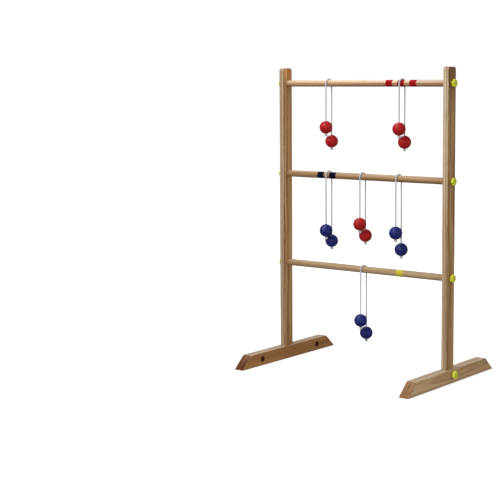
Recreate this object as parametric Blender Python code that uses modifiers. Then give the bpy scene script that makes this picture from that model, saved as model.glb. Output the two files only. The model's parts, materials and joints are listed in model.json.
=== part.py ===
"""Ladder toss frame: three dowel rungs knobbed between two uprights on board feet, with six hanging bolas.

X runs along the rungs, Y from front to back, Z up from the floor. The origin is on the floor, under the middle.
"""

import math

import bmesh
import bpy
from mathutils import Matrix, Vector

# Driving dimensions, in metres.
CLEARANCE = 0.0003  # gap between touching pieces

RUNG_SPAN = 0.616  # between the uprights' inner faces
RUNG_RADIUS = 0.011
LOWEST_RUNG_HEIGHT = 0.333
RUNG_SPACING = 0.305
RUNG_NAMES = ("bottom", "middle", "top")

UPRIGHT_THICKNESS = 0.019
UPRIGHT_WIDTH = 0.046
FRAME_HEIGHT = 0.994
UPRIGHT_LIFT = 0.001  # the uprights' lower ends stay just off the floor
TOP_CORNER_RADIUS = 0.010

FOOT_LENGTH = 0.529
FOOT_HEIGHT = 0.043
FOOT_END_RUN = 0.048  # how far each sloped end leans in over the foot's height
FOOT_BOARD_THICKNESS = 0.018
FOOT_OUTER_WALL = 0.010  # wood left outside the upright, under the foot knob

KNOB_RADIUS = 0.0135
KNOB_LOBES = 6
KNOB_LOBE_DEPTH = 0.0020
KNOB_HEAD_THICKNESS = 0.0095
KNOB_HUB_RADIUS = 0.0085
KNOB_HUB_HEIGHT = 0.0035
FOOT_KNOB_HEIGHT = 0.027

STUD_RADIUS = 0.0030
STUD_HOLE_RADIUS = 0.0036
INSERT_RADIUS = 0.0048
INSERT_BORE_RADIUS = 0.0035
INSERT_LENGTH = 0.014
INSERT_RECESS = 0.0005
STUD_REACH_IN_INSERT = 0.012

SCREW_OFFSET = 0.156  # from the foot's middle to each screw
SCREW_HEIGHT = 0.022
SCREW_HEAD_RADIUS = 0.0052
SCREW_HEAD_HEIGHT = 0.0030
SCREW_SHANK_RADIUS = 0.0024
SCREW_LENGTH = 0.022
SCREW_SOCKET_RADIUS = 0.0024
SCREW_SOCKET_DEPTH = 0.0018
COUNTERBORE_RADIUS = 0.0100
COUNTERBORE_DEPTH = 0.009

CORD_RADIUS = 0.0025
BALL_RADIUS = 0.0215
BALL_BORE_RADIUS = 0.0031
KNOT_RADIUS = 0.0055
KNOT_HALF_HEIGHT = 0.004

WOOD_EASE = 0.0012  # eased edges of the boards
KNOB_EASE = 0.0016  # rounded rims of the knob heads

# How finely round shapes are divided.
ROUND_SIDES = 32
SMALL_SIDES = 12
BALL_SIDES = 16
BALL_RINGS = 8
KNOT_RINGS = 5
SIDES_PER_LOBE = 5
CORD_SPACING = 6 * CORD_RADIUS  # between the points of a cord

# Where a cord lies against its rung, from the front strand over the top to the back one: offsets from the
# rung's axis. It crosses the rung slightly askew, because each strand is pulled straight down by its ball.
CORD_OVER_RUNG = (
    (-0.0017, -0.0141, -0.0300),
    (-0.0016, -0.0141, -0.0120),
    (-0.0015, -0.0141, -0.0020),
    (-0.0012, -0.0132, 0.0056),
    (-0.0007, -0.0093, 0.0107),
    (-0.0002, -0.0035, 0.0139),
    (0.0002, 0.0035, 0.0139),
    (0.0007, 0.0093, 0.0107),
    (0.0012, 0.0132, 0.0056),
    (0.0015, 0.0141, -0.0020),
    (0.0016, 0.0141, -0.0120),
    (0.0017, 0.0141, -0.0300),
)

# Each bola: name, rung, place along X, drop of its front and its back ball below the rung's axis, colour.
BOLAS = (
    ("top_left", "top", -0.139, 0.145, 0.192, "red"),
    ("top_right", "top", 0.145, 0.145, 0.188, "red"),
    ("middle_left", "middle", -0.139, 0.184, 0.221, "blue"),
    ("middle_centre", "middle", -0.004, 0.154, 0.194, "red"),
    ("middle_right", "middle", 0.134, 0.174, 0.230, "blue"),
    ("bottom_centre", "bottom", 0.000, 0.168, 0.213, "blue"),
)

# Places worked out from the driving dimensions. Distances along X are from the frame's middle, on either side.
UPRIGHT_INNER_X = RUNG_SPAN / 2
UPRIGHT_OUTER_X = UPRIGHT_INNER_X + UPRIGHT_THICKNESS
UPRIGHT_X = (UPRIGHT_INNER_X + UPRIGHT_OUTER_X) / 2
FOOT_OUTER_X = UPRIGHT_OUTER_X + FOOT_OUTER_WALL
FOOT_INNER_X = FOOT_OUTER_X - 2 * FOOT_BOARD_THICKNESS
FOOT_SEAM_X = FOOT_OUTER_X - FOOT_BOARD_THICKNESS
RUNG_HEIGHTS = {name: LOWEST_RUNG_HEIGHT + i * RUNG_SPACING for i, name in enumerate(RUNG_NAMES)}
SIDES = (("left", -1), ("right", 1))
ENDS = (("front", -1), ("back", 1))


def clear_scene():
    for item in list(bpy.data.objects):
        bpy.data.objects.remove(item, do_unlink=True)


def new_collection(name):
    collection = bpy.data.collections.new(name)
    bpy.context.scene.collection.children.link(collection)
    return collection


def new_material(name, colour, roughness, metallic=0.0):
    material = bpy.data.materials.new(name)
    material.use_nodes = True
    shader = material.node_tree.nodes["Principled BSDF"]
    shader.inputs["Base Color"].default_value = (*colour, 1.0)
    shader.inputs["Roughness"].default_value = roughness
    shader.inputs["Metallic"].default_value = metallic
    return material


def new_object(name, data, collection, material=None, location=(0, 0, 0), parent=None):
    """Links a new object. Its location is relative to its parent, if it has one."""
    item = bpy.data.objects.new(name, data)
    item.location = location
    item.parent = parent
    collection.objects.link(item)
    if material:
        item.data.materials.clear()
        item.data.materials.append(material)
    return item


def new_cutter(name, bm, collection, location=(0, 0, 0)):
    cutter = new_object(name, mesh_from(bm, name), collection, location=location)
    cutter.hide_render = True
    cutter.display_type = "WIRE"
    return cutter


def mesh_from(bm, name):
    mesh = bpy.data.meshes.new(name)
    bmesh.ops.recalc_face_normals(bm, faces=bm.faces)
    bm.to_mesh(mesh)
    bm.free()
    return mesh


def add_box(bm, size, centre=(0, 0, 0)):
    """Adds a box and returns its vertices."""
    made = bmesh.ops.create_cube(bm, size=1.0)["verts"]
    bmesh.ops.scale(bm, vec=size, verts=made)
    bmesh.ops.translate(bm, vec=centre, verts=made)
    return made


def add_cylinder(bm, radius, start, end, sides=SMALL_SIDES):
    """Adds a closed cylinder from one point to another."""
    start, end = Vector(start), Vector(end)
    turn = (end - start).to_track_quat("Z", "Y").to_matrix().to_4x4()
    place = Matrix.Translation((start + end) / 2) @ turn
    bmesh.ops.create_cone(
        bm, cap_ends=True, segments=sides, radius1=radius, radius2=radius, depth=(end - start).length, matrix=place
    )


def cut(item, cutter):
    modifier = item.modifiers.new("cut_" + cutter.name, "BOOLEAN")
    modifier.operation = "DIFFERENCE"
    modifier.solver = "EXACT"
    modifier.object = cutter


def ease_edges(item, width):
    modifier = item.modifiers.new("eased_edges", "BEVEL")
    modifier.width = width
    modifier.segments = 2
    modifier.limit_method = "ANGLE"
    modifier.angle_limit = math.radians(35)


def turned_mesh(name, profile, closed):
    """A profile in the XZ plane, given down its outer side, for a Screw modifier to turn about Z."""
    bm = bmesh.new()
    points = [bm.verts.new((radius, 0, height)) for radius, height in profile]
    for first, second in zip(points, points[1:]):
        bm.edges.new((first, second))
    if closed:
        bm.edges.new((points[-1], points[0]))
    mesh = bpy.data.meshes.new(name)
    bm.to_mesh(mesh)
    bm.free()
    return mesh


def turn_about_z(item, sides):
    modifier = item.modifiers.new("turned", "SCREW")
    modifier.axis = "Z"
    modifier.steps = sides
    modifier.render_steps = sides
    modifier.use_merge_vertices = True
    modifier.merge_threshold = 0.00001
    modifier.use_smooth_shade = True


def point_out(item, side):
    """Turns a piece built along +Z so that it points away from the frame's middle."""
    item.rotation_euler.y = side * math.pi / 2


def evaluated_mesh(item, name):
    """The item's mesh with its modifiers applied, so that copies can share it. The item is removed."""
    graph = bpy.context.evaluated_depsgraph_get()
    mesh = bpy.data.meshes.new_from_object(item.evaluated_get(graph))
    mesh.name = name
    bpy.data.objects.remove(item, do_unlink=True)
    return mesh


def make_upright(side_name, side, parts, cutters, material):
    length = FRAME_HEIGHT - UPRIGHT_LIFT
    bm = bmesh.new()
    add_box(bm, (UPRIGHT_THICKNESS, UPRIGHT_WIDTH, length), (0, 0, length / 2))
    top_ends = [
        edge
        for edge in bm.edges
        if all(vert.co.z > length / 2 for vert in edge.verts) and edge.verts[0].co.y == edge.verts[1].co.y
    ]
    bmesh.ops.bevel(bm, geom=top_ends, offset=TOP_CORNER_RADIUS, segments=6, profile=0.5, affect="EDGES")
    place = (side * UPRIGHT_X, 0, UPRIGHT_LIFT)
    upright = new_object(f"{side_name}_upright", mesh_from(bm, f"{side_name}_upright"), parts, material, place)
    ease_edges(upright, WOOD_EASE)

    bores = bmesh.new()
    through = UPRIGHT_THICKNESS
    for height in RUNG_HEIGHTS.values():
        level = height - UPRIGHT_LIFT
        add_cylinder(bores, STUD_HOLE_RADIUS, (-through, 0, level), (through, 0, level))
    outer_face = side * UPRIGHT_THICKNESS / 2
    level = FOOT_KNOB_HEIGHT - UPRIGHT_LIFT
    pocket_end = outer_face - side * (INSERT_LENGTH + INSERT_RECESS + CLEARANCE)
    add_cylinder(
        bores, INSERT_RADIUS + CLEARANCE, (outer_face + side * through, 0, level), (pocket_end, 0, level)
    )
    cut(upright, new_cutter(f"{side_name}_upright_bores", bores, cutters, place))


def make_rung(rung, parts, cutters, material):
    half = RUNG_SPAN / 2 - CLEARANCE
    place = (0, 0, RUNG_HEIGHTS[rung])
    bm = bmesh.new()
    add_cylinder(bm, RUNG_RADIUS, (-half, 0, 0), (half, 0, 0), ROUND_SIDES)
    mesh = mesh_from(bm, f"{rung}_rung")
    mesh.shade_smooth()
    mesh.set_sharp_from_angle(angle=math.radians(40))
    dowel = new_object(f"{rung}_rung", mesh, parts, material, place)
    ease_edges(dowel, WOOD_EASE / 2)

    bores = bmesh.new()
    bore_end = half - INSERT_LENGTH - INSERT_RECESS - CLEARANCE
    for _, side in SIDES:
        add_cylinder(bores, INSERT_RADIUS + CLEARANCE, (side * (half + 0.01), 0, 0), (side * bore_end, 0, 0))
    cut(dowel, new_cutter(f"{rung}_rung_bores", bores, cutters, place))


def make_foot_board(name, centre_x, parts, material):
    bm = bmesh.new()
    size = (FOOT_BOARD_THICKNESS - CLEARANCE, FOOT_LENGTH, FOOT_HEIGHT)
    for vert in add_box(bm, size, (0, 0, FOOT_HEIGHT / 2)):
        if vert.co.z > FOOT_HEIGHT / 2:
            vert.co.y -= math.copysign(FOOT_END_RUN, vert.co.y)
    board = new_object(name, mesh_from(bm, name), parts, material, (centre_x, 0, 0))
    ease_edges(board, WOOD_EASE)
    return board


def make_foot(side_name, side, parts, cutters, material):
    """Two boards, grooved where they face each other so that the upright stands between them."""
    seam = side * FOOT_SEAM_X
    to_middle = side * FOOT_BOARD_THICKNESS / 2
    outer = make_foot_board(f"{side_name}_foot_outer_board", seam + to_middle, parts, material)
    inner = make_foot_board(f"{side_name}_foot_inner_board", seam - to_middle, parts, material)

    slot = bmesh.new()
    slot_size = (UPRIGHT_THICKNESS + 2 * CLEARANCE, UPRIGHT_WIDTH + 2 * CLEARANCE, 2 * FOOT_HEIGHT)
    add_box(slot, slot_size)
    slot_cutter = new_cutter(f"{side_name}_foot_slot", slot, cutters, (side * UPRIGHT_X, 0, FOOT_HEIGHT / 2))
    cut(outer, slot_cutter)
    cut(inner, slot_cutter)

    knob_hole = bmesh.new()
    add_cylinder(
        knob_hole, STUD_HOLE_RADIUS,
        (side * UPRIGHT_X, 0, FOOT_KNOB_HEIGHT), (side * (FOOT_OUTER_X + 0.01), 0, FOOT_KNOB_HEIGHT),
    )
    cut(outer, new_cutter(f"{side_name}_foot_knob_hole", knob_hole, cutters))

    counterbores = bmesh.new()
    shank_holes = bmesh.new()
    floor_x = side * (FOOT_INNER_X + COUNTERBORE_DEPTH)
    shank_end = floor_x + side * (SCREW_LENGTH + CLEARANCE)
    for _, end in ENDS:
        y = end * SCREW_OFFSET
        add_cylinder(
            counterbores, COUNTERBORE_RADIUS,
            (side * (FOOT_INNER_X - 0.01), y, SCREW_HEIGHT), (floor_x, y, SCREW_HEIGHT), ROUND_SIDES,
        )
        add_cylinder(
            shank_holes, SCREW_SHANK_RADIUS + 2 * CLEARANCE,
            (side * FOOT_INNER_X, y, SCREW_HEIGHT), (shank_end, y, SCREW_HEIGHT),
        )
    cut(inner, new_cutter(f"{side_name}_foot_counterbores", counterbores, cutters))
    shank_cutter = new_cutter(f"{side_name}_foot_shank_holes", shank_holes, cutters)
    cut(inner, shank_cutter)
    cut(outer, shank_cutter)


def make_screw_mesh(cutters, parts):
    """A pan-head screw with a hexagon socket. Its head stands on z = 0 and its shank runs down."""
    tip = SCREW_SHANK_RADIUS * 0.4
    profile = [
        (0, SCREW_HEAD_HEIGHT),
        (SCREW_HEAD_RADIUS * 0.8, SCREW_HEAD_HEIGHT),
        (SCREW_HEAD_RADIUS, SCREW_HEAD_HEIGHT * 0.6),
        (SCREW_HEAD_RADIUS, 0),
        (SCREW_SHANK_RADIUS, 0),
        (SCREW_SHANK_RADIUS, -SCREW_LENGTH * 0.8),
        (tip, -SCREW_LENGTH),
        (0, -SCREW_LENGTH),
    ]
    screw = new_object("screw_pattern", turned_mesh("screw_pattern", profile, closed=False), parts)
    turn_about_z(screw, SMALL_SIDES)
    socket = bmesh.new()
    add_cylinder(
        socket, SCREW_SOCKET_RADIUS, (0, 0, SCREW_HEAD_HEIGHT - SCREW_SOCKET_DEPTH), (0, 0, 2 * SCREW_HEAD_HEIGHT), 6
    )
    cut(screw, new_cutter("screw_socket", socket, cutters))
    return evaluated_mesh(screw, "foot_screw")


def make_foot_screws(side_name, side, pattern, parts, material):
    floor_x = FOOT_INNER_X + COUNTERBORE_DEPTH - CLEARANCE
    for end_name, end in ENDS:
        place = (side * floor_x, end * SCREW_OFFSET, SCREW_HEIGHT)
        name = f"{side_name}_foot_screw_{end_name}"
        screw = new_object(name, pattern.copy(), parts, material, place)
        point_out(screw, -side)


def make_insert_mesh(parts):
    """A threaded insert, drawn as a plain tube from z = 0 down."""
    profile = [
        (INSERT_BORE_RADIUS, 0),
        (INSERT_RADIUS, 0),
        (INSERT_RADIUS, -INSERT_LENGTH),
        (INSERT_BORE_RADIUS, -INSERT_LENGTH),
    ]
    tube = new_object("insert_pattern", turned_mesh("insert_pattern", profile, closed=True), parts)
    turn_about_z(tube, SMALL_SIDES)
    return evaluated_mesh(tube, "threaded_insert")


def make_inserts(side_name, side, pattern, parts, material):
    rung_end = side * (RUNG_SPAN / 2 - CLEARANCE - INSERT_RECESS)
    places = {f"{side_name}_{rung}_insert": (rung_end, 0, RUNG_HEIGHTS[rung]) for rung in RUNG_NAMES}
    upright_face = side * (UPRIGHT_OUTER_X - INSERT_RECESS)
    places[f"{side_name}_foot_insert"] = (upright_face, 0, FOOT_KNOB_HEIGHT)
    for name, place in places.items():
        point_out(new_object(name, pattern.copy(), parts, material, place), side)


def lobed_radius(angle):
    return KNOB_RADIUS - KNOB_LOBE_DEPTH * (1 - math.cos(KNOB_LOBES * angle)) / 2


def make_knob_mesh(name, stud_length, parts):
    """A lobed head on a hub that seats on z = 0, with its stud running down."""
    bm = bmesh.new()
    head_bottom = KNOB_HUB_HEIGHT
    head_top = KNOB_HUB_HEIGHT + KNOB_HEAD_THICKNESS
    add_cylinder(bm, KNOB_RADIUS, (0, 0, head_bottom), (0, 0, head_top), KNOB_LOBES * SIDES_PER_LOBE)
    for vert in bm.verts:
        angle = math.atan2(vert.co.y, vert.co.x)
        scale = lobed_radius(angle) / KNOB_RADIUS
        vert.co.x *= scale
        vert.co.y *= scale
    head = new_object(name, mesh_from(bm, name), parts)
    ease_edges(head, KNOB_EASE)

    profile = [
        (0, head_bottom + 0.002),
        (KNOB_HUB_RADIUS, head_bottom + 0.002),
        (KNOB_HUB_RADIUS, 0),
        (STUD_RADIUS, 0),
        (STUD_RADIUS, -stud_length + STUD_RADIUS / 3),
        (STUD_RADIUS * 2 / 3, -stud_length),
        (0, -stud_length),
    ]
    stem = new_object(name + "_stem", turned_mesh(name + "_stem", profile, closed=False), parts)
    turn_about_z(stem, SMALL_SIDES)
    union = head.modifiers.new("stem", "BOOLEAN")
    union.operation = "UNION"
    union.solver = "EXACT"
    union.object = stem
    knob = evaluated_mesh(head, name)
    bpy.data.objects.remove(stem, do_unlink=True)
    knob.shade_smooth()
    knob.set_sharp_from_angle(angle=math.radians(35))
    return knob


def make_knobs(side_name, side, rung_pattern, foot_pattern, parts, material):
    seat = side * (UPRIGHT_OUTER_X + CLEARANCE)
    for rung in RUNG_NAMES:
        place = (seat, 0, RUNG_HEIGHTS[rung])
        point_out(new_object(f"{side_name}_{rung}_knob", rung_pattern.copy(), parts, material, place), side)
    place = (side * (FOOT_OUTER_X + CLEARANCE), 0, FOOT_KNOB_HEIGHT)
    point_out(new_object(f"{side_name}_foot_knob", foot_pattern.copy(), parts, material, place), side)


def make_ball_mesh(parts):
    """A ball with a bore along Z: an arc down its outer side, closed by the bore's wall."""
    first = math.acos(math.sqrt(BALL_RADIUS**2 - BALL_BORE_RADIUS**2) / BALL_RADIUS)
    profile = []
    for step in range(BALL_RINGS + 1):
        angle = first + (math.pi - 2 * first) * step / BALL_RINGS
        profile.append((BALL_RADIUS * math.sin(angle), BALL_RADIUS * math.cos(angle)))
    ball = new_object("ball_pattern", turned_mesh("ball_pattern", profile, closed=True), parts)
    turn_about_z(ball, BALL_SIDES)
    return evaluated_mesh(ball, "ball")


def smooth_route(points, spacing):
    """Points about spacing apart on a smooth curve through the given ones."""
    ends = [2 * points[0] - points[1], *points, 2 * points[-1] - points[-2]]
    route = []
    for before, start, end, after in zip(ends, ends[1:], ends[2:], ends[3:]):
        count = max(1, round((end - start).length / spacing))
        for step in range(count):
            t = step / count
            route.append(
                0.5 * (2 * start + (end - before) * t + (2 * before - 5 * start + 4 * end - after) * t**2
                       + (3 * start - before - 3 * end + after) * t**3)
            )
    return [*route, points[-1]]


def cord_route(front_drop, back_drop):
    """A bola's cord about its rung's axis, from under the front ball up over the rung to under the back one."""
    ball_underside = BALL_RADIUS + CLEARANCE
    front, back = Vector(CORD_OVER_RUNG[0]), Vector(CORD_OVER_RUNG[-1])
    points = [
        Vector((front.x, front.y, -front_drop - ball_underside)),
        Vector((front.x, front.y, -front_drop / 2)),
        *(Vector(point) for point in CORD_OVER_RUNG),
        Vector((back.x, back.y, -back_drop / 2)),
        Vector((back.x, back.y, -back_drop - ball_underside)),
    ]
    return smooth_route(points, CORD_SPACING)


def knot_rings(knot_top):
    """Places down through a stopper knot, each with the radius there. The knot is drawn as an ellipsoid."""
    rings = []
    for step in range(1, KNOT_RINGS + 1):
        angle = math.pi * step / KNOT_RINGS
        drop = KNOT_HALF_HEIGHT * (1 - math.cos(angle))
        radius = max(KNOT_RADIUS * math.sin(angle), CORD_RADIUS)
        rings.append((knot_top - Vector((0, 0, drop)), radius))
    return rings


def make_cord(name, route, pivot, parts, material):
    """A tube along the route that swells into a stopper knot at each end, as one piece of cord."""
    rings = [
        *reversed(knot_rings(route[0])),
        *((place, CORD_RADIUS) for place in route),
        *knot_rings(route[-1]),
    ]
    curve = bpy.data.curves.new(name, "CURVE")
    curve.dimensions = "3D"
    curve.bevel_depth = CORD_RADIUS
    curve.bevel_resolution = 2
    curve.use_fill_caps = True
    spline = curve.splines.new("POLY")
    spline.points.add(len(rings) - 1)
    for point, (place, radius) in zip(spline.points, rings):
        point.co = (*place, 1)
        point.radius = radius / CORD_RADIUS
    new_object(name, curve, parts, material, parent=pivot)


def make_bola(bola, ball_pattern, parts, materials):
    """A knotted cord over a rung with a ball on each end, all under an empty on the rung's axis."""
    name, rung, x, front_drop, back_drop, colour = bola
    pivot = new_object(f"bola_{name}_pivot", None, parts, location=(x, 0, RUNG_HEIGHTS[rung]))
    route = cord_route(front_drop, back_drop)
    make_cord(f"bola_{name}_cord", route, pivot, parts, materials["cord"])
    for (end_name, _), place, drop in zip(ENDS, (route[0], route[-1]), (front_drop, back_drop)):
        ball_place = (place.x, place.y, -drop)
        ball_name = f"bola_{name}_{end_name}_ball"
        new_object(ball_name, ball_pattern.copy(), parts, materials["ball_" + colour], ball_place, pivot)


def make_materials():
    return {
        "upright_wood": new_material("upright_wood", (0.40, 0.26, 0.14), 0.55),
        "rung_wood": new_material("rung_wood", (0.46, 0.31, 0.18), 0.50),
        "foot_wood": new_material("foot_wood", (0.34, 0.21, 0.11), 0.55),
        "knob_plastic": new_material("knob_plastic", (0.55, 0.56, 0.04), 0.40),
        "screw_steel": new_material("screw_steel", (0.55, 0.55, 0.55), 0.35, 1.0),
        "insert_brass": new_material("insert_brass", (0.70, 0.55, 0.25), 0.35, 1.0),
        "ball_red": new_material("ball_red", (0.36, 0.02, 0.02), 0.40),
        "ball_blue": new_material("ball_blue", (0.02, 0.03, 0.15), 0.40),
        "cord": new_material("cord", (0.75, 0.75, 0.77), 0.70),
    }


def main():
    clear_scene()
    parts = new_collection("ladder_toss_frame")
    cutters = new_collection("cutters")
    materials = make_materials()

    screw_pattern = make_screw_mesh(cutters, parts)
    insert_pattern = make_insert_mesh(parts)
    rung_stud = UPRIGHT_THICKNESS + 2 * CLEARANCE + INSERT_RECESS + STUD_REACH_IN_INSERT
    foot_stud = FOOT_OUTER_WALL + 2 * CLEARANCE + INSERT_RECESS + STUD_REACH_IN_INSERT
    rung_knob_pattern = make_knob_mesh("rung_knob", rung_stud, parts)
    foot_knob_pattern = make_knob_mesh("foot_knob", foot_stud, parts)

    for rung in RUNG_NAMES:
        make_rung(rung, parts, cutters, materials["rung_wood"])
    for side_name, side in SIDES:
        make_upright(side_name, side, parts, cutters, materials["upright_wood"])
        make_foot(side_name, side, parts, cutters, materials["foot_wood"])
        make_foot_screws(side_name, side, screw_pattern, parts, materials["screw_steel"])
        make_inserts(side_name, side, insert_pattern, parts, materials["insert_brass"])
        make_knobs(side_name, side, rung_knob_pattern, foot_knob_pattern, parts, materials["knob_plastic"])

    ball_pattern = make_ball_mesh(parts)
    for bola in BOLAS:
        make_bola(bola, ball_pattern, parts, materials)


main()
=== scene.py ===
"""Looks for the ladder toss frame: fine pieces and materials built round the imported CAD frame.

X runs along the rungs, Y from front to back, Z up from the floor. Everything is in metres.
"""

import json
import math
import random

import bmesh
import bpy
from mathutils import Matrix, Vector


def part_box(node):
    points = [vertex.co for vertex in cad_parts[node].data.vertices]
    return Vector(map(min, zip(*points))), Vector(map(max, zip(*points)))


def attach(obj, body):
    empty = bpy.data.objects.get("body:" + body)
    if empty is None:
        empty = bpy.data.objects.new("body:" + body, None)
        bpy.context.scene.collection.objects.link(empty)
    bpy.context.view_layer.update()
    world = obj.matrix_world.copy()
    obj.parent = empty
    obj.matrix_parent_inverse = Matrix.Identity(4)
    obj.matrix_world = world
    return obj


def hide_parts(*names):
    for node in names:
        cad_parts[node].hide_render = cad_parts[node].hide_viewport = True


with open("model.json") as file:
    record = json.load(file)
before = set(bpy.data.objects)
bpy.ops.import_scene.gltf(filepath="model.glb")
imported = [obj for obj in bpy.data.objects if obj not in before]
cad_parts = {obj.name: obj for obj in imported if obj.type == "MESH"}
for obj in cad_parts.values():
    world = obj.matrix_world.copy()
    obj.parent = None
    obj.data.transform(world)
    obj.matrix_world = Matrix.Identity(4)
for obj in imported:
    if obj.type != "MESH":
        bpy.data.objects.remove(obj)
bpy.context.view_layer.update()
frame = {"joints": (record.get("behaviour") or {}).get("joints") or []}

SEED = 11

# Names in the CAD frame.
RUNGS = ("top", "middle", "bottom")
SIDES = (("left", -1), ("right", 1))
ENDS = ("front", "back")

X_AXIS = (1.0, 0.0, 0.0)
Y_AXIS = (0.0, 1.0, 0.0)
Z_AXIS = (0.0, 0.0, 1.0)

# Sizes inside the CAD pieces, which their boxes don't give.
GAP = 0.0003  # between touching pieces
WOOD_EASE = 0.0013
RUNG_EASE = 0.0007
TOP_CORNER_RADIUS = 0.010
TOP_CORNER_STEPS = 14
FOOT_END_RUN = 0.048  # how far a foot's sloped end leans in over its height
STUD_RADIUS = 0.0030
STUD_HOLE_RADIUS = 0.0036
INSERT_RADIUS = 0.0048
INSERT_BORE_RADIUS = 0.0035
INSERT_LENGTH = 0.014
INSERT_RECESS = 0.0005
INSERT_END_TAPER = 0.0004
INSERT_SLOT_HALF_WIDTH = 0.0005
INSERT_SLOT_DEPTH = 0.0016
COUNTERBORE_RADIUS = 0.0100
COUNTERBORE_DEPTH = 0.009
SCREW_HEAD_RADIUS = 0.0052
SCREW_HEAD_HEIGHT = 0.0030
SCREW_HEAD_CROWN = 0.0013
SCREW_EASE = 0.0003
SCREW_SHANK_RADIUS = 0.0024
SCREW_LENGTH = 0.022
SCREW_SOCKET_RADIUS = 0.0024
SCREW_SOCKET_DEPTH = 0.0018
KNOB_RADIUS = 0.0135
KNOB_LOBES = 6
KNOB_LOBE_DEPTH = 0.0020
KNOB_HEAD_THICKNESS = 0.0095
KNOB_HUB_RADIUS = 0.0085
KNOB_HUB_HEIGHT = 0.0035
KNOB_DISH_RADIUS = 0.0036
KNOB_DISH_DEPTH = 0.0016
KNOB_DISH_ROUNDING = 0.0006
KNOB_RIM_ROUNDING = 0.0026
KNOB_FOOT_ROUNDING = 0.0014
BALL_BORE_RADIUS = 0.0031
CORD_RADIUS = 0.0025
KNOT_RADIUS = 0.0062
KNOT_HALF_HEIGHT = 0.0038
KNOT_STRAND_RADIUS = 0.0022
KNOT_OPENING = 0.35  # what its loops leave open at each end, in radians
KNOT_ROUTE_STEPS = 16

# Threads: pitch and depth.
STUD_THREAD = (0.0010, 0.00045)
INSERT_THREAD = (0.0020, 0.00060)
SCREW_THREAD = (0.0018, 0.00070)
STUD_TOP = 0.0015  # how far inside its hub a stud starts

# Blunt tips: the share of the radius left at each step, and where the step is. That is so many radii above a
# stud's end, or so far down a screw, as a share of its length.
STUD_TIP = ((0.9, 0.14), (0.7, 0.0))
SCREW_TIP = ((0.7, 0.90), (0.35, 0.97), (0.15, 1.0))
SCREW_THREADED = (0.25, 0.82)  # where its thread starts and ends, as a share of its length

# Painted scoring bands: rung, colour, middles along X, width.
BANDS = {
    "top": ("red", (0.1013, 0.1459, 0.1905), 0.0255),
    "middle": ("navy", (-0.1660, -0.1180), 0.0265),
    "bottom": ("yellow", (0.1446,), 0.0275),
}
PAINT_THICKNESS = 0.0001
PAINT_EDGE = 0.0002
PAINT_EDGE_WOBBLE = 0.0005

# The angle to which each knob happens to be screwed home, in degrees, from top to foot, left and then right.
KNOB_ANGLES = (8, 41, 23, 52, 17, 33, 3, 48)

# Where a cord lies against its rung, from the front strand up to the top: offsets from the rung's axis. From
# there it goes on down to the back strand, turned half round. The route through these points is the CAD's.
CORD_OVER_RUNG = (
    (-0.0017, -0.0141, -0.0300),
    (-0.0016, -0.0141, -0.0120),
    (-0.0015, -0.0141, -0.0020),
    (-0.0012, -0.0132, 0.0056),
    (-0.0007, -0.0093, 0.0107),
    (-0.0002, -0.0035, 0.0139),
)

# Each bola: name, colour.
BOLAS = (
    ("top_left", "red"),
    ("top_right", "red"),
    ("middle_left", "blue"),
    ("middle_centre", "red"),
    ("middle_right", "blue"),
    ("bottom_centre", "blue"),
)

# Each board's own wood: its light and dark grain, the middle of its tree (off the board's middle, across and
# through it), the painted-shade tint of its faces across X, the side in shade, and the colour of its end
# grain.
BOARD_WOODS = {
    "left_upright": (
        (0.535, 0.42, 0.295), (0.27, 0.172, 0.095), (0.016, -0.070), (1.36, 1.06, 0.68), (0.40, 0.21, 0.10)
    ),
    "right_upright": (
        (0.70, 0.57, 0.41), (0.38, 0.26, 0.145), (0.014, 0.085), (0.88, 0.72, 0.475), (0.34, 0.18, 0.08)
    ),
    "left_foot_outer_board": (
        (0.52, 0.42, 0.30), (0.30, 0.20, 0.12), (0.010, -0.060), (0.95, 0.68, 0.42), (0.15, 0.041, 0.009)
    ),
    "left_foot_inner_board": (
        (0.58, 0.41, 0.27), (0.42, 0.27, 0.16), (-0.014, 0.070), (0.82, 0.55, 0.26), (0.13, 0.034, 0.007)
    ),
    "right_foot_outer_board": (
        (0.66, 0.53, 0.38), (0.47, 0.34, 0.23), (0.008, 0.065), (1.06, 0.94, 0.71), (0.35, 0.17, 0.062)
    ),
    "right_foot_inner_board": (
        (0.58, 0.43, 0.29), (0.40, 0.26, 0.15), (-0.010, -0.075), (1.00, 0.75, 0.46), (0.33, 0.16, 0.066)
    ),
}

# What the uprights' faces across X are tinted by towards their upper ends (painted shade on the right
# upright, a lighter tone of the left's own wood), and how far down that reaches.
UPPER_TONES_AND_SHADE = {"left_upright": ((1.45, 1.35, 1.20), 0.05), "right_upright": ((0.56, 0.46, 0.38), 0.20)}

# Each rung's light and dark grain, how strongly its top is laid lighter as a painted highlight, and how
# glossy its varnish still is.
RUNG_WOODS = {
    "top": ((0.60, 0.38, 0.20), (0.33, 0.17, 0.08), 0.60, 0.50),
    "middle": ((0.48, 0.29, 0.13), (0.26, 0.135, 0.052), 0.14, 0.30),
    "bottom": ((0.49, 0.35, 0.19), (0.325, 0.20, 0.10), 0.0, 0.20),
}
RUNG_PITH = (0.026, -0.044)

# The distance from one growth ring to the next.
UPRIGHT_RING_GAP = 0.0072
FOOT_RING_GAP = 0.0060
RUNG_RING_GAP = 0.0050
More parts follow.
